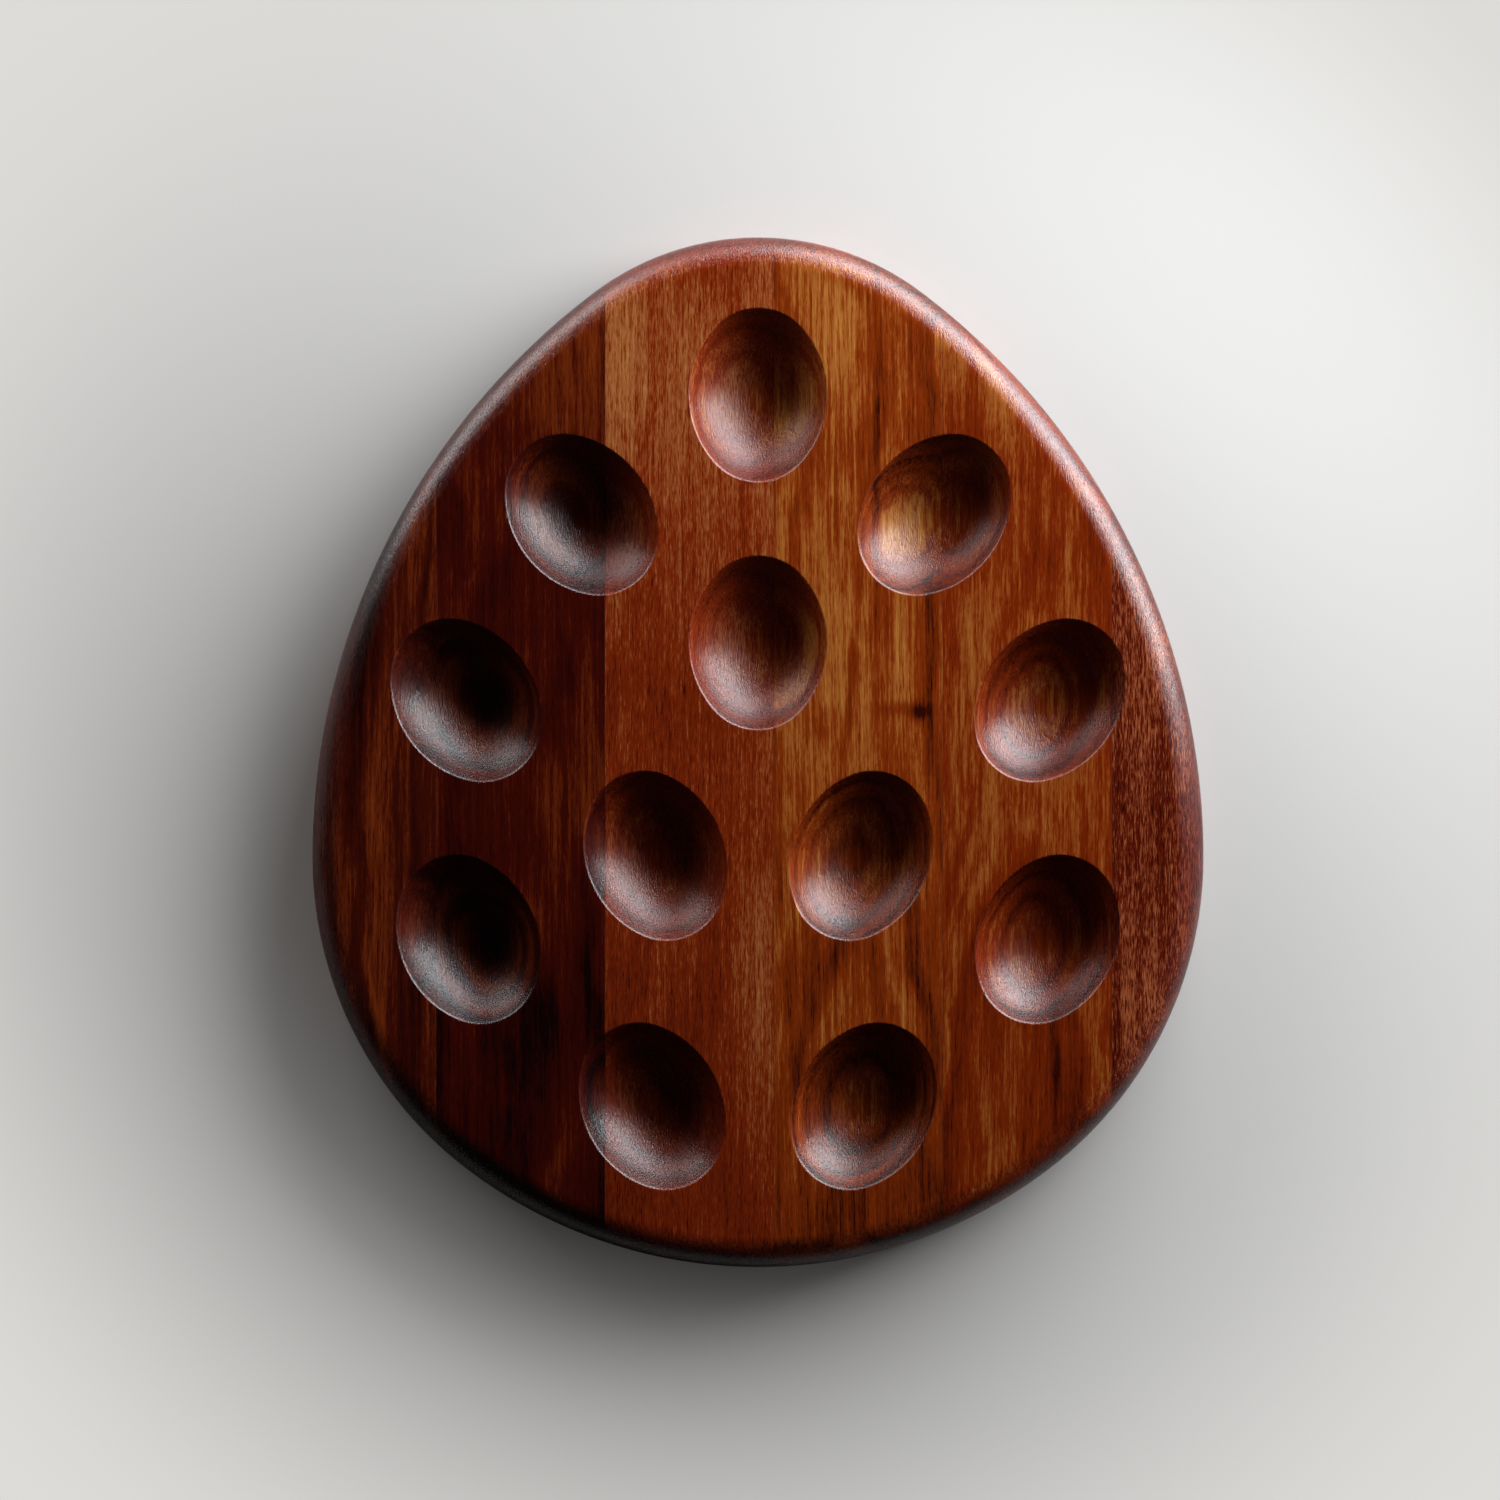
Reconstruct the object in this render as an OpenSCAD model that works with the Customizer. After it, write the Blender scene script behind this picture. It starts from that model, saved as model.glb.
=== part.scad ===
// Deviled egg platter: an egg-shaped walnut serving board, edge-glued from six staves, with oval cups
// cut into its top face, each for half an egg. All lengths are in millimetres, all turns in degrees.
// The board lies flat with its cups up and its pointed end towards +Y. The origin is on the underside,
// in the middle of the board's length and width.

/* [Outline] */
// Radius of the blunt end
blunt_end_radius = 145.5; // [140:0.1:151]
// Radius of the two hips, between the blunt end and the sides
hip_radius = 118.4; // [113:0.1:124]
// Radius of the pointed end
pointed_end_radius = 82; // [77:0.1:87]

/* [Board] */
// Thickness of the board
board_thickness = 22.2; // [19:0.1:28]
// Radius of the round-over along the upper edge
upper_round_over = 9.5; // [6:0.1:12]
// Radius of the round-over along the lower edge
lower_round_over = 3.2; // [1:0.1:6]

/* [Staves] */
// Width of each of the two middle staves, from seam to seam
stave_width = 50.8; // [45:0.1:58]
// Distance of the middle seam from the board's axis, to the right
middle_seam = 4.8; // [-8:0.1:8]
// Width of the left edge stave, where the board is widest
left_edge_width = 37.9; // [30:0.1:46]
// Width of the right edge stave, where the board is widest
right_edge_width = 28.3; // [22:0.1:36]
// Thickness of the glue in a seam
glue_thickness = 0.15; // [0.1:0.01:0.3]

/* [Cups] */
// Depth of a cup, below the top face
cup_depth = 13; // [10:0.1:15]
// Radius of a cup's rounded ends
cup_end_radius = 19.8; // [18:0.1:21]
// Distance by which a cup's middle is rounder than its ends
cup_swell = 2.9; // [2:0.1:3.5]

/* [Cup places] */
// Tip cup: distance of its middle from the board's edge at the pointed end
tip_setback = 48.2; // [40:0.1:54]
// Shoulder cups: distance from the board's edge
shoulder_setback = 46.1; // [40:0.1:52]
// Shoulder cups: direction from the centre of the board's long side
shoulder_turn = 38; // [34:0.05:42]
// Shoulder cups: outward lean of the end nearer the pointed end
shoulder_lean = 38.7; // [30:0.1:45]
// Flank cups: distance from the board's edge
flank_setback = 40.3; // [34:0.1:46]
// Flank cups: direction from the centre of the board's long side
flank_turn = 15.85; // [12:0.05:19]
// Flank cups: outward lean
flank_lean = 35.5; // [28:0.1:42]
// Hip cups: distance from the board's edge
hip_setback = 43.5; // [37:0.1:50]
// Hip cups: direction from the centre of the hip
hip_turn = -19.1; // [-27:0.05:-12]
// Hip cups: outward lean
hip_lean = 24.4; // [17:0.1:31]
// Base cups: distance from the board's edge
base_setback = 44; // [37:0.1:50]
// Base cups: direction from the centre of the blunt end
base_turn = -71.75; // [-75:0.05:-68]
// Base cups: outward lean
base_lean = 28.5; // [21:0.1:36]
// Heart cup: distance towards the pointed end from halfway between the tip cup and the base cups
heart_rise = 32.4; // [26:0.1:39]
// Inner cups: distance towards the blunt end from halfway between the tip cup and the base cups
inner_drop = 31.6; // [25:0.1:38]
// Inner cups: distance from the axis
inner_x = 30.9; // [29:0.1:34]
// Inner cups: outward lean
inner_lean = 23; // [15:0.1:30]

/* [Hidden] */
$fn = 180;

// A length rounded to a whole number of steps, so that the faces and arcs that share it meet exactly
function whole(length, step) = round(length / step) * step;
RADIUS_STEP = 0.01;
PLACE_STEP = 0.001;

// Half of the outline is four arcs, each tangent to the next, so neighbouring centres lie on the normal
// that the two arcs share. The three shared normals are those of an egg drawn with 3-4-5 triangles.
LOW_NORMAL = [0.6, -0.8];
LEVEL_NORMAL = [1, 0];
HIGH_NORMAL = [0.6, 0.8];
// Directions past those normals, to which the board under a tight arc laps over its neighbours, and
// the roots of its wedges, a little behind the arcs' centres
LOW_LAP = [0.5, -0.9];
LEVEL_LAP = [1, 0.15];
HIGH_LAP = [0.7, 0.7];
CENTRE_ROOT = [0, 0];
HIP_ROOT = [-0.04, 0.02];
POINTED_ROOT = [0, -0.04];
blunt_radius = whole(blunt_end_radius, RADIUS_STEP);
hips_radius = whole(hip_radius, RADIUS_STEP);
pointed_radius = whole(pointed_end_radius, RADIUS_STEP);
// The radius of the long sides is the one that closes the outline on the axis
side_radius = hips_radius + 1.5 * (blunt_radius - pointed_radius);
// Centres of the arcs on the right, measured from the middle of the blunt end's edge
blunt_centre = [0, blunt_radius];
hip_centre = blunt_centre + (blunt_radius - hips_radius) * LOW_NORMAL;
side_centre = hip_centre + (hips_radius - side_radius) * LEVEL_NORMAL;
pointed_centre = side_centre + (side_radius - pointed_radius) * HIGH_NORMAL;
board_length = pointed_centre.y + pointed_radius;
half_width = hip_centre.x + hips_radius;
// The middle of the board, measured from there too
board_middle = [0, whole(board_length / 2, PLACE_STEP)];

// Middle of each seam, from left to right. The left and the right stave fill what the others leave.
SEAMS = [
    left_edge_width - half_width,
    middle_seam - stave_width,
    middle_seam,
    middle_seam + stave_width,
    half_width - right_edge_width
];

// A cup is the lower part of a solid that is round about a line along the cup, above the top face.
// Its long profile is an oval of three arcs, also drawn with 3-4-5 triangles: a wide one over the
// middle, whose centre lies beyond that line, and the two ends, whose centres lie on it.
CUP_NORMAL = [0.8, 0.6];
cup_end_offset = 3 * cup_swell;
cup_middle_offset = 4 * cup_swell;
cup_middle_radius = cup_end_radius + 5 * cup_swell;
cup_rise = cup_end_radius + cup_swell - cup_depth;
cup_reach = cup_end_offset + cup_end_radius;

// Place of a cup inside the edge that an arc draws, in a direction from the arc's centre
function inside_edge(centre, radius, setback, turn) =
    centre - board_middle + (radius - setback) * [cos(turn), sin(turn)];
tip = [0, board_length - board_middle.y - tip_setback];
shoulder = inside_edge(side_centre, side_radius, shoulder_setback, shoulder_turn);
flank = inside_edge(side_centre, side_radius, flank_setback, flank_turn);
hip = inside_edge(hip_centre, hips_radius, hip_setback, hip_turn);
base = inside_edge(blunt_centre, blunt_radius, base_setback, base_turn);
halfway = (tip.y + base.y) / 2;
heart = [0, halfway + heart_rise];
inner = [inner_x, halfway - inner_drop];

// Place and outward lean of every cup
function pair(place, lean) = [[place.x, place.y, lean], [-place.x, place.y, -lean]];
CUPS = concat(
    [[tip.x, tip.y, 0], [heart.x, heart.y, 0]],
    pair(shoulder, shoulder_lean),
    pair(flank, flank_lean),
    pair(inner, inner_lean),
    pair(hip, hip_lean),
    pair(base, base_lean)
);

// The same direction on the left
function flip(direction) = [-direction.x, direction.y];

// Quarter of a disc, in the corner of a round-over
module quarter(radius) {
    intersection() {
        circle(radius);
        square(radius);
    }
}

// Cross-section of the board from an arc's centre out to the edge
module edge_profile(radius) {
    square([radius - upper_round_over, board_thickness]);
    square([radius - lower_round_over, lower_round_over]);
    translate([0, lower_round_over])
        square([radius, board_thickness - upper_round_over - lower_round_over]);
    translate([radius - upper_round_over, board_thickness - upper_round_over])
        quarter(upper_round_over);
    translate([radius - lower_round_over, lower_round_over])
        mirror([0, 1])
            quarter(lower_round_over);
}

// Part of the board under one arc: a round board, kept inside a wedge. The wedge lists its root and its
// far corners, in diameters from the arc's centre. A wide arc's wedge ends at the normals that end the
// arc. A tight arc's goes past them, because there a round board of its radius lies inside the neighbour.
module sector(centre, radius, wedge) {
    translate(centre - board_middle)
        intersection() {
            rotate([0, 0, 180])
                rotate_extrude()
                    edge_profile(radius);
            translate([0, 0, -board_thickness])
                linear_extrude(3 * board_thickness)
                    polygon(2 * radius * wedge);
        }
}

// What is drawn for the right, and its mirror image on the left
module both_sides() {
    children();
    mirror([1, 0, 0])
        children();
}

// The whole panel, before it is cut into staves and before the cups are cut
module panel() {
    sector(blunt_centre, blunt_radius, [CENTRE_ROOT, flip(LOW_NORMAL), LOW_NORMAL]);
    both_sides() {
        sector(hip_centre, hips_radius, [HIP_ROOT, LOW_LAP, LEVEL_NORMAL + LOW_NORMAL, LEVEL_LAP]);
        sector(side_centre, side_radius,
               [CENTRE_ROOT, LEVEL_NORMAL, LEVEL_NORMAL + HIGH_NORMAL, HIGH_NORMAL]);
    }
    sector(pointed_centre, pointed_radius, [POINTED_ROOT, HIGH_LAP, flip(HIGH_LAP)]);
}

// Half of a cup's long profile, from the line along the cup out to its wall
module cup_profile() {
    // Far end of a normal that two arcs share, well outside the profile
    far = [0, cup_end_offset] + 2 * cup_middle_radius * CUP_NORMAL;
    intersection() {
        translate([-cup_middle_offset, 0])
            circle(cup_middle_radius);
        polygon([[0, -cup_end_offset], [far.x, -far.y], far, [0, cup_end_offset]]);
    }
    for (turn = [0, 1])
        mirror([0, turn])
            intersection() {
                translate([0, cup_end_offset])
                    circle(cup_end_radius);
                polygon([[0, cup_end_offset], far, [0, far.y]]);
            }
}

// The hollow of one cup, with the air above it
module cup(place) {
    translate([place.x, place.y, board_thickness + cup_rise])
        rotate([90, 0, -place.z])
            rotate_extrude()
                cup_profile();
}

// Slice of the finished board between two lines along its length, with the cups that reach it
module slice(left, right) {
    difference() {
        intersection() {
            panel();
            translate([left, -board_length, -board_thickness])
                cube([right - left, 2 * board_length, 3 * board_thickness]);
        }
        for (place = CUPS)
            if (place.x + cup_reach > left && place.x - cup_reach < right)
                cup(place);
    }
}

// The two faces of the glue in a seam
function left_face(i) = whole(SEAMS[i] - glue_thickness / 2, PLACE_STEP);
function right_face(i) = whole(SEAMS[i] + glue_thickness / 2, PLACE_STEP);

// Stave to the left of the seam with this number, or to the right of the last seam
module stave(i) {
    left = i == 0 ? -2 * half_width : right_face(i - 1);
    right = i == len(SEAMS) ? 2 * half_width : left_face(i);
    slice(left, right);
}

// Film of glue in one seam
module glue_line(i) {
    slice(left_face(i), right_face(i));
}

module left_edge_stave() {
    color("#4a2a1c") stave(0);
}

module left_stave() {
    color("#3d2219") stave(1);
}

module left_middle_stave() {
    color("#5f3c2a") stave(2);
}

module right_middle_stave() {
    color("#6b4429") stave(3);
}

module right_stave() {
    color("#6f4528") stave(4);
}

module right_edge_stave() {
    color("#55301f") stave(5);
}

module left_edge_glue_line() {
    color("#8a6848") glue_line(0);
}

module left_glue_line() {
    color("#8a6848") glue_line(1);
}

module middle_glue_line() {
    color("#8a6848") glue_line(2);
}

module right_glue_line() {
    color("#8a6848") glue_line(3);
}

module right_edge_glue_line() {
    color("#8a6848") glue_line(4);
}

left_edge_stave();
left_stave();
left_middle_stave();
right_middle_stave();
right_stave();
right_edge_stave();
left_edge_glue_line();
left_glue_line();
middle_glue_line();
right_glue_line();
right_edge_glue_line();
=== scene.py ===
# %% [markdown]
# # A walnut platter for deviled eggs
# The platter is one egg-shaped board with twelve oval cups, cut from a panel of six walnut staves glued
# edge to edge. The CAD frame gives every stave and every glue line its place and size. This lesson
# gives them their looks: each piece is drawn again as a finer surface with numpy, then gets wood with
# growth rings that run right through it, and at last light from low softboxes, which wood likes best.

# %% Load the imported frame
import math

import bmesh
import bpy
import numpy as np
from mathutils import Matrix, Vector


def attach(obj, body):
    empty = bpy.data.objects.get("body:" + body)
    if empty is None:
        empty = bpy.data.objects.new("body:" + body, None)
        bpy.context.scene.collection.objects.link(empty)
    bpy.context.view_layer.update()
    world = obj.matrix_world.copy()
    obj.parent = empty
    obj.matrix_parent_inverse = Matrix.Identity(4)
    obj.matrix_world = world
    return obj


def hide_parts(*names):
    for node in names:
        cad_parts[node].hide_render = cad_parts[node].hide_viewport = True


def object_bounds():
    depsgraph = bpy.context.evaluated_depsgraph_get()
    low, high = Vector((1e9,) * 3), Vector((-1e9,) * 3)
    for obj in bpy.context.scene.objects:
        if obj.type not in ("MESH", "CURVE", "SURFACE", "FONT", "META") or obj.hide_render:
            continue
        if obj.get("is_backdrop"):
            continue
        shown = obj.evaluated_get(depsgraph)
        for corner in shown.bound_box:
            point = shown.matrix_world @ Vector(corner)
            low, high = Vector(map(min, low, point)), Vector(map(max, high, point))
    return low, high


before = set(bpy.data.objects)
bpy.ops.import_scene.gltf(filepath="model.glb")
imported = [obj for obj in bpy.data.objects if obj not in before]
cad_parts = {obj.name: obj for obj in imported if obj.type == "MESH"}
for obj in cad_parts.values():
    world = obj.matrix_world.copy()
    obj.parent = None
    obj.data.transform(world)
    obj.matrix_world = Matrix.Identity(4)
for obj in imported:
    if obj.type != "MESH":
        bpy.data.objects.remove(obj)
cad_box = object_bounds()
MM = 0.001
print("CAD nodes:", ", ".join(sorted(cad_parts)))

# %% [markdown]
# ## The outline
# A maker would draw this egg with a compass: a wide arc for the blunt end, a tighter one round each hip,
# a long one up each side and a small one over the pointed end, each tangent to the next. They meet where
# the edge faces along 3-4-5 triangles, which is where the 0.6 and 0.8 come from. A curve drawn by hand
# would do for a picture, but with arcs the edge can be moved inwards exactly: the centres stay and the
# radii shrink. That is all a round-over needs.

# %% Arcs of the outline
BLUNT_RADIUS = 145.5
HIP_RADIUS = 118.4
POINTED_RADIUS = 82.0
SIDE_RADIUS = HIP_RADIUS + 1.5 * (BLUNT_RADIUS - POINTED_RADIUS)
HIP_X = 0.6 * (BLUNT_RADIUS - HIP_RADIUS)
SIDE_X = HIP_X + HIP_RADIUS - SIDE_RADIUS
HALF_WIDTH = HIP_X + HIP_RADIUS
HIP_BELOW_BLUNT = 0.8 * (BLUNT_RADIUS - HIP_RADIUS)
POINTED_ABOVE_HIP = 0.8 * (SIDE_RADIUS - POINTED_RADIUS)
BOARD_LENGTH = BLUNT_RADIUS - HIP_BELOW_BLUNT + POINTED_ABOVE_HIP + POINTED_RADIUS
BLUNT_Y = BLUNT_RADIUS - BOARD_LENGTH / 2
HIP_Y = BLUNT_Y - HIP_BELOW_BLUNT
POINTED_Y = HIP_Y + POINTED_ABOVE_HIP


def half_chord(radius, offset):
    """Half of a circle's chord at that offset from the centre: the other leg of a right triangle."""
    return np.sqrt(np.maximum(radius ** 2 - offset ** 2, 0))


def upper_edge(x, inset):
    """y of the outline's upper half, moved in by inset: the pointed arc in the middle, a side beyond."""
    across = np.abs(x)
    pointed = POINTED_Y + half_chord(POINTED_RADIUS - inset, across)
    side = HIP_Y + half_chord(SIDE_RADIUS - inset, across - SIDE_X)
    return np.where(across < 0.6 * (POINTED_RADIUS - inset), pointed, side)


def lower_edge(x, inset):
    """y of the outline's lower half, moved in by inset: the blunt arc in the middle, a hip beyond."""
    across = np.abs(x)
    blunt = BLUNT_Y - half_chord(BLUNT_RADIUS - inset, across)
    hip = HIP_Y - half_chord(HIP_RADIUS - inset, across - HIP_X)
    return np.where(across < 0.6 * (BLUNT_RADIUS - inset), blunt, hip)


print(f"Outline: {2 * HALF_WIDTH:.2f} mm wide, {BOARD_LENGTH:.2f} mm long")

# %% [markdown]
# ## The edge
# A router rounds the top edge with a large bit, and the underside gets a small one. Both are quarter
# circles, so the height follows from how far inside the outline a point lies. One more ring just inside
# each round-over keeps the flat faces flat: smooth shading mixes the normals at a ring, and the extra
# ring stops that mix from spreading over the face.

# %% Round-overs
THICKNESS = 22.2
UPPER_ROUND = 9.5
LOWER_ROUND = 3.2
GUARD = 0.4
RINGS = 15
turns = np.linspace(0, np.pi / 2, RINGS)
UPPER_INSETS = np.append(UPPER_ROUND * (1 - np.cos(turns)), UPPER_ROUND + GUARD)
LOWER_INSETS = np.append(LOWER_ROUND * (1 - np.cos(turns[::2])), LOWER_ROUND + GUARD)


def upper_height(inset):
    """z of the top at that inset: a quarter circle that starts on the edge and ends on the flat face."""
    return THICKNESS - UPPER_ROUND + half_chord(UPPER_ROUND, np.maximum(UPPER_ROUND - inset, 0))


def lower_height(inset):
    """z of the underside at that inset: a small quarter circle that ends on the flat underside."""
    return LOWER_ROUND - half_chord(LOWER_ROUND, np.maximum(LOWER_ROUND - inset, 0))


print("Round-over rings:", len(UPPER_INSETS), "above and", len(LOWER_INSETS), "below")

# %% [markdown]
# ## The cups
# Each cup holds half an egg. Its cutter is a solid that is round about a long line above the board, like
# an egg on its side, and the cup is what its lower part takes away. Its long profile is made of arcs
# again, a wide one and two for the ends, which meet along 3-4-5 triangles too. On the real board
# sandpaper breaks the sharp rim. The ease here does the same: near the rim the depth follows a parabola
# that leaves the face level and joins the wall at the wall's own slope.

# %% Places and depth of the cups
CUP_DEPTH = 13.0
CUP_END_RADIUS = 19.8
CUP_SWELL = 2.9
CUP_RISE = CUP_END_RADIUS + CUP_SWELL - CUP_DEPTH
CUP_END_OFFSET = 3 * CUP_SWELL
CUP_MIDDLE_OFFSET = 4 * CUP_SWELL
CUP_MIDDLE_RADIUS = CUP_END_RADIUS + 5 * CUP_SWELL
CUP_JOIN = CUP_END_OFFSET + 0.6 * CUP_END_RADIUS
RIM_EASE = 0.9
# x, y and outward lean of each cup on the axis and on the right
TIP = (0.0, 107.37, 0.0)
HEART = (0.0, 32.85, 0.0)
SHOULDER = (53.04, 71.40, 38.7)
FLANK = (87.77, 15.60, 35.5)
INNER = (30.9, -31.15, 23.0)
HIP = (87.04, -56.26, 24.4)
BASE = (31.79, -106.46, 28.5)


def mirrored(cup):
    """The same cup on the left half, leaning the other way."""
    return (-cup[0], cup[1], -cup[2])


def cutter(x, y, cup):
    """Square of the cutter's radius abreast of a point, less that of the point's distance across."""
    lean = math.radians(cup[2])
    along = (x - cup[0]) * math.sin(lean) + (y - cup[1]) * math.cos(lean)
    across = (x - cup[0]) * math.cos(lean) - (y - cup[1]) * math.sin(lean)
    middle = (half_chord(CUP_MIDDLE_RADIUS, along) - CUP_MIDDLE_OFFSET) ** 2
    end = CUP_END_RADIUS ** 2 - (np.abs(along) - CUP_END_OFFSET) ** 2
    return np.where(np.abs(along) < CUP_JOIN, middle, end) - across ** 2


def cup_depth(x, y, cup):
    """Depth below the face: the cutter's half chord less the height of its line, eased by a parabola."""
    depth = np.sqrt(np.maximum(cutter(x, y, cup), 0)) - CUP_RISE
    eased = np.maximum(depth + RIM_EASE, 0) ** 2 / (4 * RIM_EASE)
    return np.where(depth > RIM_EASE, depth, eased)


print(f"A cup is {cup_depth(0.0, HEART[1], HEART):.2f} mm deep")

# %% [markdown]
# ## Slices
# A stave is a closed slice of the board, carried across its width. The slice changes on the way, but it
# always has the same number of points, so neighbouring slices join up in quads. The trick is to let the
# points follow the shape: some stay on the round-overs and some on the rims of the cups, and they slide
# along as the slice moves on. Where a slice misses a cup, that cup's points wait close together on the
# flat face. A regular grid would be simpler, but it would leave the rims jagged.

# %% Where a slice crosses a cup
RIM_LEVELS = (CUP_RISE + RIM_EASE * np.array([1.0, 0.6, 0.2, -0.2, -0.6, -1.0, -1.25])) ** 2
WAITING = 0.15 + 0.02 * np.arange(len(RIM_LEVELS))
FLOOR_STEPS = np.linspace(0, 1, 30)[1:-1]
SEARCH = 60.0
CUTS = 70
HALVINGS = 50


def deepest(x, cup):
    """y where a slice at x runs deepest in the cutter, found by cutting a bracket to two thirds."""
    low = np.full(x.shape, cup[1] - SEARCH)
    high = np.full(x.shape, cup[1] + SEARCH)
    for _ in range(CUTS):
        third = (high - low) / 3
        rising = cutter(x, low + third, cup) < cutter(x, high - third, cup)
        low, high = np.where(rising, low + third, low), np.where(rising, high, high - third)
    return (low + high) / 2


def crossing(x, middle, side, cup):
    """y where a slice leaves each rim level above or below its deepest point, found by halving."""
    inner = np.broadcast_to(middle, (len(x), len(RIM_LEVELS)))
    outer = inner + side * SEARCH
    for _ in range(HALVINGS):
        half = (inner + outer) / 2
        inside = cutter(x, half, cup) > RIM_LEVELS
        inner, outer = np.where(inside, half, inner), np.where(inside, outer, half)
    return inner


def cup_points(x, cup):
    """y of a slice's points across one cup: rim levels, even steps over the floor, rim levels again."""
    middle = deepest(x, cup)
    above = np.maximum(crossing(x, middle, 1, cup), middle + WAITING)
    below = np.minimum(crossing(x, middle, -1, cup), middle - WAITING)
    floor = below[:, :1] + (above[:, :1] - below[:, :1]) * FLOOR_STEPS
    return np.hstack([below[:, ::-1], floor, above])


tip_points = cup_points(np.array([[TIP[0]]]), TIP)
print(f"A slice has {tip_points.size} points in a cup, over {np.ptp(tip_points):.1f} mm in the tip cup")

# %% [markdown]
# One slice goes along the underside, up over the pointed end, back across the face through its cups and
# down over the blunt end. Near the sides of the board a slice is too narrow for the whole round-over, so
# the insets stop at the distance that is left.

# %% A whole slice
FLAT_STEPS = np.array([0.25, 0.5, 0.75])


def slices(x, cups):
    """y and z of closed slices, one row for each x. The cups come in order from the blunt end."""
    x = np.asarray(x)[:, None]
    reach = HALF_WIDTH - np.abs(x)
    top = np.minimum(UPPER_INSETS, reach)
    under = np.minimum(LOWER_INSETS, reach)
    blunt_end, pointed_end = lower_edge(x, top), upper_edge(x, top)
    first, last = blunt_end[:, -1:], pointed_end[:, -1:]
    face, before = [], first
    for cup in cups:
        points = np.clip(cup_points(x, cup), first, last)
        face += [before + (points[:, :1] - before) * FLAT_STEPS, points]
        before = points[:, -1:]
    face = np.hstack(face + [before + (last - before) * FLAT_STEPS])
    level = upper_height(top[:, -1:]) - sum(cup_depth(x, face, cup) for cup in cups)
    low_blunt, low_pointed = lower_edge(x, under), upper_edge(x, under)
    flat = low_blunt[:, -1:] + (low_pointed[:, -1:] - low_blunt[:, -1:]) * FLAT_STEPS
    y = np.hstack([low_blunt, flat, low_pointed[:, ::-1],
                   pointed_end, face[:, ::-1], blunt_end[:, ::-1]])
    underside, topside = lower_height(under), upper_height(top)
    z = np.hstack([underside, np.broadcast_to(underside[:, -1:], flat.shape), underside[:, ::-1],
                   topside, level[:, ::-1], topside[:, ::-1]])
    return y, z


print("Points in a slice through one cup:", slices([TIP[0]], (TIP,))[0].size)

# %% [markdown]
# The slices stand close together where a cup begins and ends, because its rim turns fast there. Steps
# that are even round a circle give just that, so each cup asks for slices at the cosines of even angles.
# The edge staves ask for the same round the hip, and for one slice at each ring of the round-over.

# %% Where the slices stand
CUP_ANGLES = np.linspace(0, np.pi, 61)
HIP_ANGLES = np.radians(np.arange(0, 60, 1.0))
EVEN_SLICES = 16
CLOSEST = 0.02


def half_reach(cup):
    """How far a cup's outermost rim level reaches to either side of its centre, found by halving."""
    inner, outer = np.array([[cup[0]]]), np.array([[cup[0] + SEARCH]])
    for _ in range(HALVINGS):
        half = (inner + outer) / 2
        inside = cutter(half, deepest(half, cup), cup) > RIM_LEVELS[-1]
        inner, outer = np.where(inside, half, inner), np.where(inside, outer, half)
    return float(inner[0, 0] - cup[0])


def stations(start, stop, cups):
    """x of a stave's slices: even steps, every cup's cosines and, at the side, those of the edge."""
    wanted = [np.linspace(start, stop, EVEN_SLICES)]
    wanted += [cup[0] + half_reach(cup) * np.cos(CUP_ANGLES) for cup in cups]
    if max(abs(start), abs(stop)) > HALF_WIDTH - GUARD:
        side = np.sign(start + stop)
        wanted += [side * (HIP_X + HIP_RADIUS * np.cos(HIP_ANGLES))]
        wanted += [side * (HALF_WIDTH - UPPER_INSETS), side * (HALF_WIDTH - LOWER_INSETS)]
    x = np.sort(np.concatenate(wanted))
    x = x[(x > start + CLOSEST) & (x < stop - CLOSEST)]
    return np.concatenate([[start], x[np.append(True, np.diff(x) > CLOSEST)], [stop]])


print(f"A cup reaches {half_reach(TIP):.2f} mm to either side of its middle, rim and all")

# %% [markdown]
# Quads join each slice to the next, and one face closes each end, so every piece is a closed solid. At
# the far left and right of the board a slice shrinks until its points fall together, and merging them
# leaves no empty faces behind. Edges sharper than the limit stay crisp, and all others are smooth.

# %% From slices to a closed mesh
SHARP = math.radians(35)
MERGE = 1e-7


def carried(name, x, cups):
    """Joins each slice to the next with quads, closes both ends and merges points that coincide."""
    y, z = slices(x, cups)
    places = np.stack([np.broadcast_to(x[:, None], y.shape), y, z], axis=-1).reshape(-1, 3)
    index = np.arange(y.size).reshape(y.shape)
    here, there = index[:-1], index[1:]
    quads = np.stack([here, np.roll(here, -1, 1), np.roll(there, -1, 1), there], axis=-1)
    faces = quads.reshape(-1, 4).tolist() + [index[0, ::-1].tolist(), index[-1].tolist()]
    mesh = bpy.data.meshes.new(name)
    mesh.from_pydata((places * MM).tolist(), [], faces)
    work = bmesh.new()
    work.from_mesh(mesh)
    bmesh.ops.remove_doubles(work, verts=work.verts, dist=MERGE)
    work.to_mesh(mesh)
    open_edges = sum(len(edge.link_faces) != 2 for edge in work.edges)
    work.free()
    mesh.shade_smooth()
    mesh.set_sharp_from_angle(angle=SHARP)
    piece = bpy.data.objects.new(name, mesh)
    bpy.context.collection.objects.link(piece)
    print(f"{name}: {len(x)} slices, {len(mesh.polygons)} faces, {open_edges} open edges")
    return piece


# %% [markdown]
# ## The staves
# The panel was glued up from boards of one width, and the egg was cut out of it off centre, so the seams
# lie a little to the right and the two edge staves differ. Each stave lists the cups that cross it.

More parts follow.
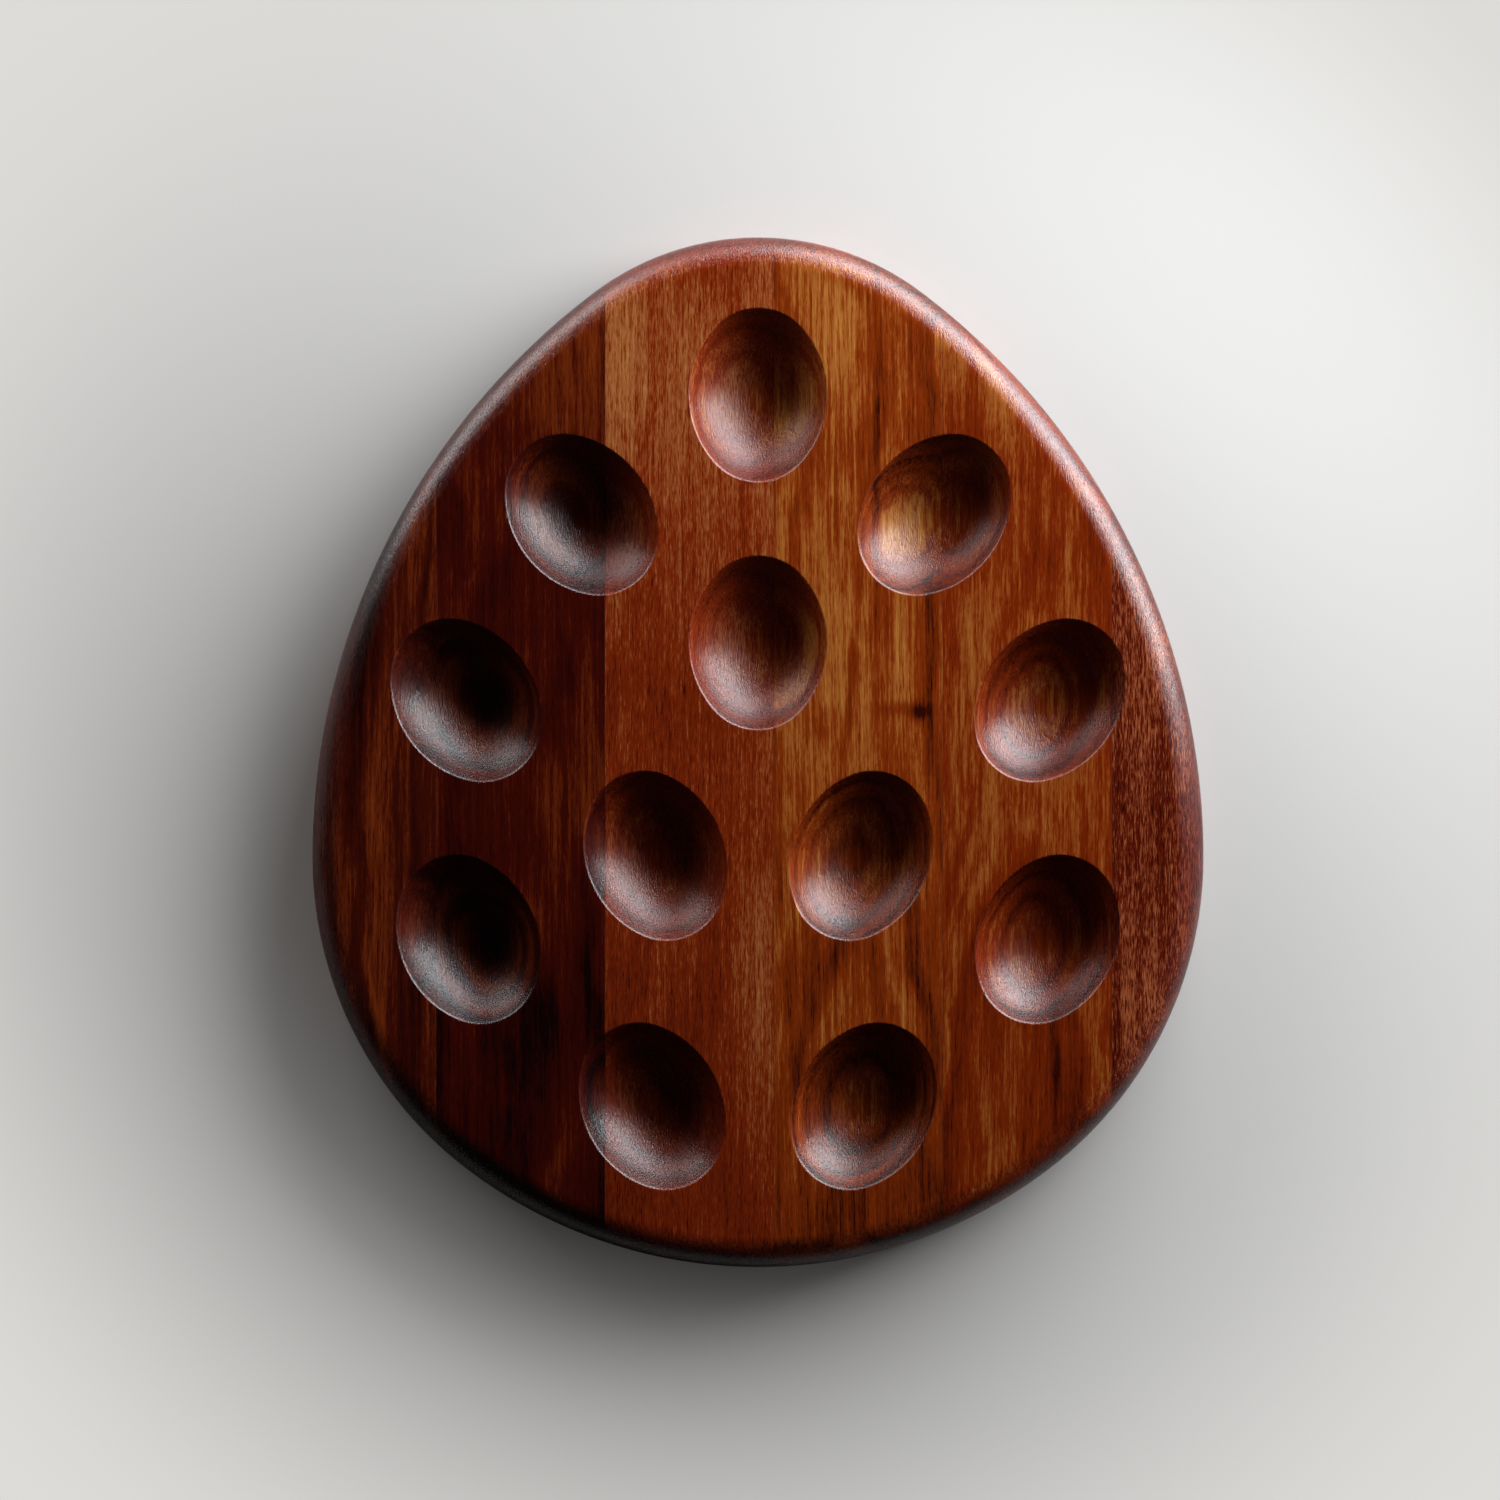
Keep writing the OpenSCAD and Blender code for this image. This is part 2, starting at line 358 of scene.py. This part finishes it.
# %% Six staves
GLUE = 0.15
STAVE_WIDTH = 50.8
MIDDLE_SEAM = 4.8
LEFT_EDGE_WIDTH = 37.9
RIGHT_EDGE_WIDTH = 28.3
SEAMS = (LEFT_EDGE_WIDTH - HALF_WIDTH, MIDDLE_SEAM - STAVE_WIDTH, MIDDLE_SEAM,
         MIDDLE_SEAM + STAVE_WIDTH, HALF_WIDTH - RIGHT_EDGE_WIDTH)
LEFT_SHOULDER, LEFT_FLANK, LEFT_INNER = mirrored(SHOULDER), mirrored(FLANK), mirrored(INNER)
LEFT_HIP, LEFT_BASE = mirrored(HIP), mirrored(BASE)
STAVE_CUPS = {
    "left_edge_stave": (LEFT_HIP, LEFT_FLANK),
    "left_stave": (LEFT_BASE, LEFT_HIP, LEFT_INNER, LEFT_FLANK, LEFT_SHOULDER),
    "left_middle_stave": (LEFT_BASE, LEFT_INNER, HEART, LEFT_SHOULDER, TIP),
    "right_middle_stave": (BASE, INNER, HEART, SHOULDER, TIP),
    "right_stave": (HIP, FLANK, SHOULDER),
    "right_edge_stave": (HIP, FLANK),
}
starts = [-HALF_WIDTH] + [seam + GLUE / 2 for seam in SEAMS]
stops = [seam - GLUE / 2 for seam in SEAMS] + [HALF_WIDTH]
staves = {}
for (node, cups), start, stop in zip(STAVE_CUPS.items(), starts, stops):
    piece = carried(node + "_wood", stations(start, stop, cups), cups)
    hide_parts(node)
    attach(piece, "root")
    staves[node] = piece

# %% [markdown]
# ## The glue lines
# Between two staves lies a film of cured wood glue, about as thick as paper. It was cut and sanded with
# the wood, so it has the same slice as its neighbours, carried over its own thickness. It crosses the
# cups that its neighbours have.

# %% Five glue lines
GLUE_CUPS = {
    "left_edge_glue_line": (LEFT_HIP, LEFT_FLANK),
    "left_glue_line": (LEFT_BASE, LEFT_INNER, LEFT_SHOULDER),
    "middle_glue_line": (HEART, TIP),
    "right_glue_line": (SHOULDER,),
    "right_edge_glue_line": (HIP, FLANK),
}
glue_lines = {}
for (node, cups), seam in zip(GLUE_CUPS.items(), SEAMS):
    piece = carried(node + "_film", np.array([seam - GLUE / 2, seam + GLUE / 2]), cups)
    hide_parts(node)
    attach(piece, "root")
    glue_lines[node] = piece

# %% [markdown]
# ## Camera
# The board lies flat and the camera looks straight down on it, which is how the photograph sees it. A
# long lens from far away keeps the rims of the cups round. The lens follows from the width that has to
# fill the frame.

# %% Camera above the board
FRAME_WIDTH = 0.4509
CAMERA_DISTANCE = 1.7
CAMERA_PLACE = (-0.0024, 0.00066)
SENSOR_WIDTH = 36.0
camera_data = bpy.data.cameras.new("camera")
camera_data.sensor_width = SENSOR_WIDTH
camera_data.lens = SENSOR_WIDTH * CAMERA_DISTANCE / FRAME_WIDTH
camera = bpy.data.objects.new("camera", camera_data)
camera.location = (*CAMERA_PLACE, THICKNESS * MM + CAMERA_DISTANCE)
bpy.context.collection.objects.link(camera)
bpy.context.scene.camera = camera
print(f"Lens: {camera_data.lens:.0f} mm")

# %% [markdown]
# ## Light
# Three softboxes stand low around the pointed end. A long strip at the upper right, hardly higher than
# the board, lays the sheen on the far walls of the cups and leaves the near walls dark. A smaller key
# lamp above it lights the face, and a low rim lamp at the upper left draws the edge there. The strip is
# a little cool, so the sheen turns grey beside the warm wood. The rest of the room is dim, because a
# bright ceiling would lay a grey veil over dark wood.

# %% Softboxes
WHITE = (1.0, 1.0, 1.0)
COOL = (0.84, 0.945, 1.0)
# Azimuth, elevation, distance, width and height, radiance, colour
LAMPS = {
    "strip_softbox": (48, 14, 0.75, (1.0, 0.46), 14.4, COOL),
    "key_softbox": (32, 28, 0.75, (0.5, 0.4), 4.0, WHITE),
    "rim_softbox": (130, 9, 0.8, (0.6, 0.3), 8.0, WHITE),
}


def softbox(name, azimuth, elevation, distance, size, radiance, colour):
    """A rectangular lamp that faces the board. Its power is pi times area times radiance."""
    data = bpy.data.lights.new(name, "AREA")
    data.color = colour
    data.shape = "RECTANGLE"
    data.size, data.size_y = size
    data.energy = math.pi * size[0] * size[1] * radiance
    lamp = bpy.data.objects.new(name, data)
    turn, rise = math.radians(azimuth), math.radians(elevation)
    flat = math.cos(rise)
    lamp.location = (distance * flat * math.cos(turn), distance * flat * math.sin(turn),
                     distance * math.sin(rise))
    lamp.rotation_euler = (math.pi / 2 - rise, 0, turn + math.pi / 2)
    lamp.visible_camera = False
    bpy.context.collection.objects.link(lamp)


for name, values in LAMPS.items():
    softbox(name, *values)
print("Lamps:", ", ".join(LAMPS))

# %% [markdown]
# ## Node trees
# Room, floor, wood and glue all get their looks from node trees. Written out node by node they are hard
# to read, so these small helpers make them look like sums: each adds a node, fills its inputs and hands
# back its output.

# %% Helpers for node trees
def fill(tree, sockets, values):
    """Fills input sockets in order: a socket is linked, anything else becomes the socket's own value."""
    for socket, value in zip(sockets, values):
        if isinstance(value, bpy.types.NodeSocket):
            tree.links.new(value, socket)
        else:
            socket.default_value = value


def fill_named(tree, node, **values):
    """Fills input sockets by name, with an underscore for each space of the name."""
    fill(tree, [node.inputs[name.replace("_", " ")] for name in values], values.values())


def calc(tree, operation, *values, clamp=False):
    """One Math node."""
    node = tree.nodes.new("ShaderNodeMath")
    node.operation = operation
    node.use_clamp = clamp
    fill(tree, node.inputs, values)
    return node.outputs[0]


def noise(tree, place, stretch, detail, roughness):
    """Noise about 0.5 over a place in millimetres, with so many features a millimetre on each axis."""
    scaled = tree.nodes.new("ShaderNodeVectorMath")
    scaled.operation = "MULTIPLY"
    fill(tree, scaled.inputs, (place, stretch))
    node = tree.nodes.new("ShaderNodeTexNoise")
    fill_named(tree, node, Vector=scaled.outputs[0], Scale=1.0, Detail=detail, Roughness=roughness)
    return node.outputs[0]


def steps(tree, value, low, high):
    """A smooth step from 0 at low to 1 at high."""
    node = tree.nodes.new("ShaderNodeMapRange")
    node.interpolation_type = "SMOOTHSTEP"
    fill(tree, node.inputs[:5], (value, low, high, 0.0, 1.0))
    return node.outputs[0]


def mixed(tree, factor, first, second):
    """A colour between two colours. Sockets 6 and 7 of a Mix node are its colours, and output 2."""
    node = tree.nodes.new("ShaderNodeMix")
    node.data_type = "RGBA"
    fill(tree, [node.inputs[0], node.inputs[6], node.inputs[7]], (factor, first, second))
    return node.outputs[2]


def parts_of(tree, vector):
    """The x, y and z of a vector."""
    node = tree.nodes.new("ShaderNodeSeparateXYZ")
    tree.links.new(vector, node.inputs[0])
    return node.outputs[0], node.outputs[1], node.outputs[2]


def new_material(name):
    """A material with its node tree, its Principled BSDF and its Texture Coordinate node."""
    material = bpy.data.materials.new(name)
    material.use_nodes = True
    tree = material.node_tree
    return material, tree, tree.nodes["Principled BSDF"], tree.nodes.new("ShaderNodeTexCoord")


print("Node helpers are ready")

# %% [markdown]
# ## Floor and room
# The floor is pale and plain, and takes the board's shadow. Its paint is a little warm, which makes it
# neutral under the cool strip. Further out it fades into an even tone that only the camera sees, and so
# does the room behind it: that hides the horizon and lights nothing.

# %% Floor and room
PALE = (0.72, 0.71, 0.69, 1)
FLOOR_COLOUR = (0.59, 0.545, 0.52, 1)
FLOOR_HALF = 4
FADE = (0.13, 0.32)
ROOM_STRENGTH = 0.006


def seen_pale(tree, kind, lit, share, output):
    """Gives camera rays an even pale tone instead of the lit shader, by a share from 0 to 1."""
    even = tree.nodes.new(kind)
    even.inputs["Color"].default_value = PALE
    camera_ray = tree.nodes.new("ShaderNodeLightPath").outputs["Is Camera Ray"]
    pick = tree.nodes.new("ShaderNodeMixShader")
    fill(tree, pick.inputs, (calc(tree, "MULTIPLY", camera_ray, share), lit.outputs[0], even.outputs[0]))
    tree.links.new(pick.outputs[0], tree.nodes[output].inputs["Surface"])


world = bpy.data.worlds.new("room")
bpy.context.scene.world = world
world.use_nodes = True
dim = world.node_tree.nodes["Background"]
fill_named(world.node_tree, dim, Color=(1, 1, 1, 1), Strength=ROOM_STRENGTH)
seen_pale(world.node_tree, "ShaderNodeBackground", dim, 1.0, "World Output")

corners = [(x * FLOOR_HALF, y * FLOOR_HALF, 0) for x, y in ((-1, -1), (1, -1), (1, 1), (-1, 1))]
floor_mesh = bpy.data.meshes.new("floor")
floor_mesh.from_pydata(corners, [], [(0, 1, 2, 3)])
floor = bpy.data.objects.new("floor", floor_mesh)
bpy.context.collection.objects.link(floor)
floor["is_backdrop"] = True
ground, tree, shader, coordinates = new_material("pale_floor")
fill_named(tree, shader, Base_Color=FLOOR_COLOUR, Roughness=0.9, Specular_IOR_Level=0.1)
away = tree.nodes.new("ShaderNodeVectorMath")
away.operation = "LENGTH"
tree.links.new(coordinates.outputs["Object"], away.inputs[0])
fade = steps(tree, away.outputs["Value"], *FADE)
seen_pale(tree, "ShaderNodeEmission", shader, fade, "Material Output")
floor_mesh.materials.append(ground)
print("Floor and room are ready")

# %% [markdown]
# ## Walnut
# Wood is a solid with a structure in three dimensions: growth rings lie about the tree's pith like the
# layers of a pipe, fibres run along it, and pores are fine tubes between the fibres. A picture wrapped
# round the stave would break at every rim. So the colour here is a function of the place in the wood,
# and where a cup cuts through the rings they show as arcs, just as in the real cups.
#
# The grain group works out how light or dark the wood is at each place. Slow noise in the distance from
# the pith gives bands that follow the rings. Long fine noise along the grain gives fibres, shorter and
# finer noise gives the dashes that walnut is full of, and the peaks of another become open pores. They
# add up to one tone, and the tone picks a colour between dark, middle and light. One number for the
# tone keeps hue and value together, as in real wood, where the dark parts are also the redder ones.

# %% Grain of the walnut
# Features a millimetre across, along and through the wood, then the noise's detail and roughness
DRIFT = ((0.012, 0.005, 0.012), 4.0, 0.55)
FIBRE = ((0.9, 0.022, 0.9), 5.0, 0.68)
DASH = ((2.8, 0.30, 2.8), 2.0, 0.65)
PORE = ((2.1, 0.13, 2.1), 1.0, 0.5)
# The same for bands, whose place is already counted in band widths
BAND = ((1.0, 1.0, 1.0), 4.0, 0.6)
BANDS_ALONG = 0.004
NOISE_MEAN = 0.5
PORE_PEAKS = (0.60, 0.68)
RING_WIDTH = 5.2
RING_WANDER = 26.0
LATE_WOOD_POWER = 3.0


def new_group(name, takes, gives):
    """An empty shader node group with named sockets, and its input and output sockets by name."""
    tree = bpy.data.node_groups.new(name, "ShaderNodeTree")
    for label, kind in takes:
        tree.interface.new_socket(name=label, in_out="INPUT", socket_type="NodeSocket" + kind)
    for label, kind in gives:
        tree.interface.new_socket(name=label, in_out="OUTPUT", socket_type="NodeSocket" + kind)
    inside = tree.nodes.new("NodeGroupInput").outputs
    outside = tree.nodes.new("NodeGroupOutput").inputs
    return tree, inside, outside


grain, given, makes = new_group(
    "walnut_grain",
    [("Place", "Vector"), ("Shade", "Float"), ("Band Width", "Float"), ("Bands", "Float"),
     ("Rings", "Float"), ("Fibres", "Float"), ("Dashes", "Float"), ("Pores", "Float"),
     ("Dark", "Color"), ("Middle", "Color"), ("Light", "Color")],
    [("Color", "Color"), ("Roughness", "Float"), ("Height", "Float")])
place = given["Place"]
across, along, through = parts_of(grain, place)
square = calc(grain, "ADD", calc(grain, "POWER", across, 2.0), calc(grain, "POWER", through, 2.0))
drift = calc(grain, "SUBTRACT", noise(grain, place, *DRIFT), NOISE_MEAN)
radius = calc(grain, "MULTIPLY_ADD", drift, RING_WANDER, calc(grain, "SQRT", square))
band_place = grain.nodes.new("ShaderNodeCombineXYZ")
fill(grain, band_place.inputs, (calc(grain, "DIVIDE", radius, given["Band Width"]),
                                calc(grain, "MULTIPLY", along, BANDS_ALONG), 0.0))
bands = noise(grain, band_place.outputs[0], *BAND)
ring = calc(grain, "SINE", calc(grain, "MULTIPLY", radius, 2 * math.pi / RING_WIDTH))
late = calc(grain, "POWER", calc(grain, "MULTIPLY_ADD", ring, 0.5, 0.5), LATE_WOOD_POWER)
fibres = noise(grain, place, *FIBRE)
dashes = noise(grain, place, *DASH)
pores = steps(grain, noise(grain, place, *PORE), *PORE_PEAKS)
print("Grain group:", len(grain.nodes), "nodes so far")

# %% [markdown]
# Each part counts from its own middle and with its own weight. Light bands, fibres and dashes raise the
# tone, dense late wood and pores lower it, and the shade that comes from outside the group is taken off
# at the end. The dashes also make the gloss uneven, and together with fibres and pores they give the
# fine relief that breaks up the sheen in the cups.

# %% Tone, colour, gloss and relief
MIDDLE_TONE = 0.5
LATE_WOOD_MEAN = 0.3
SMOOTHEST = 0.17
DASH_ROUGHNESS = 0.24
FIBRE_RELIEF = 0.4
PORE_RELIEF = -0.25
tone = MIDDLE_TONE
for part, name, mean, sign in ((bands, "Bands", NOISE_MEAN, 1.0), (fibres, "Fibres", NOISE_MEAN, 1.0),
                               (dashes, "Dashes", NOISE_MEAN, 1.0),
                               (late, "Rings", LATE_WOOD_MEAN, -1.0), (pores, "Pores", 0.0, -1.0)):
    weight = calc(grain, "MULTIPLY", given[name], sign)
    tone = calc(grain, "MULTIPLY_ADD", calc(grain, "SUBTRACT", part, mean), weight, tone)
tone = calc(grain, "SUBTRACT", tone, given["Shade"], clamp=True)
low_half = calc(grain, "MULTIPLY", tone, 2.0, clamp=True)
high_half = calc(grain, "MULTIPLY_ADD", tone, 2.0, -1.0, clamp=True)
colour = mixed(grain, high_half, mixed(grain, low_half, given["Dark"], given["Middle"]), given["Light"])
roughness = calc(grain, "MULTIPLY_ADD", dashes, DASH_ROUGHNESS, SMOOTHEST)
relief = calc(grain, "MULTIPLY_ADD", fibres, FIBRE_RELIEF, dashes)
relief = calc(grain, "MULTIPLY_ADD", pores, PORE_RELIEF, relief)
fill(grain, makes, (colour, roughness, relief))
print("Grain group:", len(grain.nodes), "nodes")

# %% [markdown]
# Some staves have dark veins and a small knot, which noise would never put in the right spot. A vein is
# a soft line across the board's own coordinates: a start, a slope and a bend, with a little wander. It
# fades out sideways and lengthwise like a bell curve. A short wide vein makes a knot, and one with a
# negative depth makes a pale patch. One pale patch, by the upper right edge, is a painted highlight.

# %% Veins and knots
VEIN_WANDER = 7.0
VEIN_DRIFT = ((0.05, 0.03, 0.05), 3.0, 0.55)


def bell(tree, offset, width):
    """A bell curve: e to the power of minus the square of offset over width."""
    share = calc(tree, "DIVIDE", offset, width)
    return calc(tree, "EXPONENT", calc(tree, "MULTIPLY", calc(tree, "MULTIPLY", share, share), -1.0))


vein, given, makes = new_group(
    "walnut_vein",
    [("Place", "Vector"), ("X", "Float"), ("Y", "Float"), ("Slope", "Float"), ("Bend", "Float"),
     ("Width", "Float"), ("Reach", "Float"), ("Depth", "Float")],
    [("Shade", "Float")])
across, along = parts_of(vein, given["Place"])[:2]
run = calc(vein, "SUBTRACT", along, given["Y"])
line = calc(vein, "MULTIPLY_ADD", calc(vein, "MULTIPLY", run, run), given["Bend"], given["X"])
line = calc(vein, "MULTIPLY_ADD", run, given["Slope"], line)
wander = calc(vein, "SUBTRACT", noise(vein, given["Place"], *VEIN_DRIFT), NOISE_MEAN)
line = calc(vein, "MULTIPLY_ADD", wander, VEIN_WANDER, line)
soft = bell(vein, calc(vein, "SUBTRACT", across, line), given["Width"])
fade = bell(vein, run, given["Reach"])
vein.links.new(calc(vein, "MULTIPLY", calc(vein, "MULTIPLY", soft, fade), given["Depth"]), makes[0])
print("Vein group:", len(vein.nodes), "nodes")

# %% [markdown]
# Each stave came from another place in a log, so each has its own pith, its own tilt in the log, its own
# weights and its own three colours. Ends is how much darker it turns where a cut crosses its fibres, in
# part painted shade on the steep walls of the cups. The colours are written as a screen shows them, and
# a helper makes them linear, as Blender wants them.

# %% Woods of the six staves
# A vein is its x, y, slope, bend, width, reach and depth. Lengths are in millimetres, tilts in degrees.
WOODS = {
    "left_edge_stave": dict(
        pith=(-160, 0, -40), tilt=(0.5, 0.6), ends=0.28, band_width=7, bands=2.0, rings=0.15,
        fibres=1.0, dashes=0.5, pores=0.12, tones=((24, 1, 0), (66, 13, 2), (136, 54, 15)),
        veins=((-110, 45, 0.0, 0.0, 16.0, 35, 0.18),)),
    "left_stave": dict(
        pith=(-70, 0, -90), tilt=(0.9, -0.4), ends=0.16, band_width=9, bands=2.0, rings=0.2,
        fibres=0.9, dashes=0.4, pores=0.10, tones=((16, 0, 0), (62, 8, 1), (128, 50, 11)),
        veins=((-57, -80, 0.0, 0.0, 10.0, 22, 0.2), (-52, 45, 0.0, 0.0, 7.0, 32, 0.25),
               (-82, 64, 0.0, 0.0, 14.0, 45, 0.22), (-60, -120, 0.2, 0.0, 7.0, 22, -0.34),
               (-58, -20, 0.0, 0.0, 8.0, 28, -0.3))),
    "left_middle_stave": dict(
        pith=(-24, 0, -120), tilt=(0.5, 0.3), ends=0.36, band_width=18, bands=0.7, rings=0.14,
        fibres=0.8, dashes=0.9, pores=0.2, tones=((56, 8, 1), (121, 36, 5), (176, 112, 60)),
        veins=((0, -70, 0.0, 0.0, 10.0, 60, -0.12), (-30, 115, 0.0, 0.0, 20.0, 35, -0.1))),
    "right_middle_stave": dict(
        pith=(22, 0, -60), tilt=(0.8, -0.8), ends=0.36, band_width=9, bands=1.6, rings=0.2,
        fibres=1.2, dashes=0.5, pores=0.15, tones=((46, 5, 0), (128, 45, 5), (188, 124, 54)),
        veins=((36, 95, 0.0, 0.0, 1.3, 45, 0.3), (30, 32, 0.08, -0.001, 1.3, 36, 0.24),
               (48, 12, 0.0, 0.0, 3.2, 2.6, 0.5), (42, 13, 0.0, 0.0, 7.0, 2.0, 0.2),
               (52, 25, 0.0, 0.0, 1.4, 45, 0.2), (18, -75, 0.35, 0.0, 3.0, 28, 0.2),
               (24, 128, 0.0, 0.0, 12.0, 40, -0.18))),
    "right_stave": dict(
        pith=(80, 0, -45), tilt=(2.2, 0.5), ends=0.36, band_width=8, bands=1.3, rings=0.22,
        fibres=1.0, dashes=0.45, pores=0.15, tones=((46, 5, 0), (116, 34, 2), (176, 110, 46)),
        veins=((89, -97, 0.0, 0.0, 1.5, 16, 0.35), (72, -105, 0.0, 0.0, 9.0, 45, -0.14),
               # The last vein here, a pale patch by the upper right edge, is a painted highlight: the
               # round-over's sheen.
               (82, 80, 0.0, 0.0, 22.0, 40, 0.16), (66, 108, 0.0, 0.0, 10.0, 22, -0.2))),
    "right_edge_stave": dict(
        pith=(170, 0, 60), tilt=(0.4, -0.5), ends=0.36, band_width=8, bands=1.1, rings=0.12,
        fibres=0.7, dashes=1.7, pores=0.2, tones=((40, 4, 1), (86, 19, 3), (166, 88, 52)),
        veins=((112, -80, 0.0, 0.0, 14.0, 30, -0.15),)),
}


def srgb(*parts):
    """Linear colour for 0 to 255 display values."""
    values = np.array(parts) / 255
    linear = np.where(values <= 0.04045, values / 12.92, ((values + 0.055) / 1.055) ** 2.4)
    return (*linear.tolist(), 1.0)


print("Veins:", {node: len(wood["veins"]) for node, wood in WOODS.items()})

# %% [markdown]
# Where a cut crosses the fibres, on the board's ends and the steep walls of the cups, the open wood
# drinks more oil and turns darker. It is set darker than open grain alone would make it, so on the steep
# walls of the cups and on the rounded edge it is partly painted shade. The normal tells how much: its
# part along the fibres counts in full, its part across them a little. Towards the pointed end, where the
# lamps stand, the wood is painted a touch lighter, which is painted light.

# %% Shade of a stave
ACROSS_SHARE = 0.3
OPEN_WOOD_AND_SHADE = (0.02, 0.6)
# Painted light: the wood is made lighter towards the pointed end, where the lamps stand.
PAINTED_LIGHT_SLOPE = -0.0005
PER_METRE = (1000, 1000, 1000)


def stave_shade(tree, normal, board, wood):
    """Painted light along the board, plus ends times a step in the normal's crossing part (part painted
    shade), plus every vein.
    """
    facing_x, facing_y = parts_of(tree, normal)[:2]
    crossing_part = calc(tree, "MULTIPLY_ADD", calc(tree, "POWER", facing_x, 2.0), ACROSS_SHARE,
                         calc(tree, "POWER", facing_y, 2.0))
    ends = calc(tree, "MULTIPLY", steps(tree, crossing_part, *OPEN_WOOD_AND_SHADE), wood["ends"])
    shade = calc(tree, "MULTIPLY_ADD", parts_of(tree, board)[1], PAINTED_LIGHT_SLOPE, ends)
    for values in wood["veins"]:
        line = tree.nodes.new("ShaderNodeGroup")
        line.node_tree = vein
        fill(tree, line.inputs, (board, *values))
        shade = calc(tree, "ADD", line.outputs[0], shade)
    return shade


print("Open wood darkens from", OPEN_WOOD_AND_SHADE[0], "to", OPEN_WOOD_AND_SHADE[1])

# %% [markdown]
# The finish is a satin oil. The flat face was sanded finest, so there the gloss is smoother and the
# relief nearly gone, and both come back in the cups and on the rounded edge. Relief is scaled about its
# own mean, so that no step shows where the face ends.

# %% Walnut for each stave
LEVEL = (0.98, 1.0)
FACE_ROUGHNESS = -0.3
FACE_RELIEF = -0.8
MEAN_RELIEF = 0.67
RELIEF_STRENGTH = 0.9
RELIEF_DEPTH = 0.15 * MM
OIL_SPECULAR = 0.6


def walnut(node, wood):
    """The stave's material: the grain of its own piece of the log, its shade, and satin oil on top."""
    material, tree, shader, coordinates = new_material("walnut_" + node)
    board, log = (tree.nodes.new("ShaderNodeMapping") for _ in range(2))
    fill_named(tree, board, Vector=coordinates.outputs["Object"], Scale=PER_METRE)
    turn = (math.radians(wood["tilt"][0]), 0, math.radians(wood["tilt"][1]))
    fill_named(tree, log, Vector=coordinates.outputs["Object"], Rotation=turn, Scale=PER_METRE,
               Location=[-part for part in wood["pith"]])
    shade = stave_shade(tree, coordinates.outputs["Normal"], board.outputs[0], wood)
    figure = tree.nodes.new("ShaderNodeGroup")
    figure.node_tree = grain
    numbers = [wood[name] for name in ("band_width", "bands", "rings", "fibres", "dashes", "pores")]
    tones = [srgb(*tone) for tone in wood["tones"]]
    fill(tree, figure.inputs, (log.outputs[0], shade, *numbers, *tones))
    face = steps(tree, parts_of(tree, coordinates.outputs["Normal"])[2], *LEVEL)
    swing = calc(tree, "SUBTRACT", figure.outputs["Height"], MEAN_RELIEF)
    height = calc(tree, "MULTIPLY", swing, calc(tree, "MULTIPLY_ADD", face, FACE_RELIEF, 1.0))
    bump = tree.nodes.new("ShaderNodeBump")
    fill_named(tree, bump, Strength=RELIEF_STRENGTH, Distance=RELIEF_DEPTH, Height=height)
    satin = calc(tree, "MULTIPLY_ADD", face, FACE_ROUGHNESS, 1.0)
    roughness = calc(tree, "MULTIPLY", figure.outputs["Roughness"], satin)
    fill_named(tree, shader, Base_Color=figure.outputs["Color"], Roughness=roughness,
               Normal=bump.outputs[0], Specular_IOR_Level=OIL_SPECULAR)
    return material


for node, piece in staves.items():
    piece.data.materials.append(walnut(node, WOODS[node]))
print("Walnut on", len(staves), "staves")

# %% [markdown]
# ## Glue
# Cured wood glue is a brown, slightly clear film. After sanding and oiling it shows as a thin line that
# is only a little unlike the wood beside it. Dust and wood flour in it make it cloudy, so its colour
# and its gloss follow a fine noise.

# %% Cloudy glue
CLOUD = ((1.5, 0.3, 1.5), 3.0, 0.6)
CLOUD_EDGES = (0.3, 0.7)
CLOUD_ROUGHNESS = 0.3
GLUE_ROUGHNESS = 0.2
GLUE_DARK = (44, 13, 4)
GLUE_PALE = (84, 34, 13)
glue, tree, shader, coordinates = new_material("wood_glue")
scaled = tree.nodes.new("ShaderNodeMapping")
fill_named(tree, scaled, Vector=coordinates.outputs["Object"], Scale=PER_METRE)
clouds = noise(tree, scaled.outputs[0], *CLOUD)
colour = mixed(tree, steps(tree, clouds, *CLOUD_EDGES), srgb(*GLUE_DARK), srgb(*GLUE_PALE))
roughness = calc(tree, "MULTIPLY_ADD", clouds, CLOUD_ROUGHNESS, GLUE_ROUGHNESS)
fill_named(tree, shader, Base_Color=colour, Roughness=roughness)
for piece in glue_lines.values():
    piece.data.materials.append(glue)
print("Glue on", len(glue_lines), "lines")

# %% [markdown]
# ## Finish
# The Standard view shows colours as they are written. The sizes of the CAD and of the finished pieces
# are printed, so that the two can be compared.

# %% Finish
bpy.context.scene.view_settings.view_transform = "Standard"
visual_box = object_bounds()
for name, (low, high) in (("CAD", cad_box), ("Visual", visual_box)):
    print(name, "size in mm:", [round((end - start) / MM, 2) for start, end in zip(low, high)])
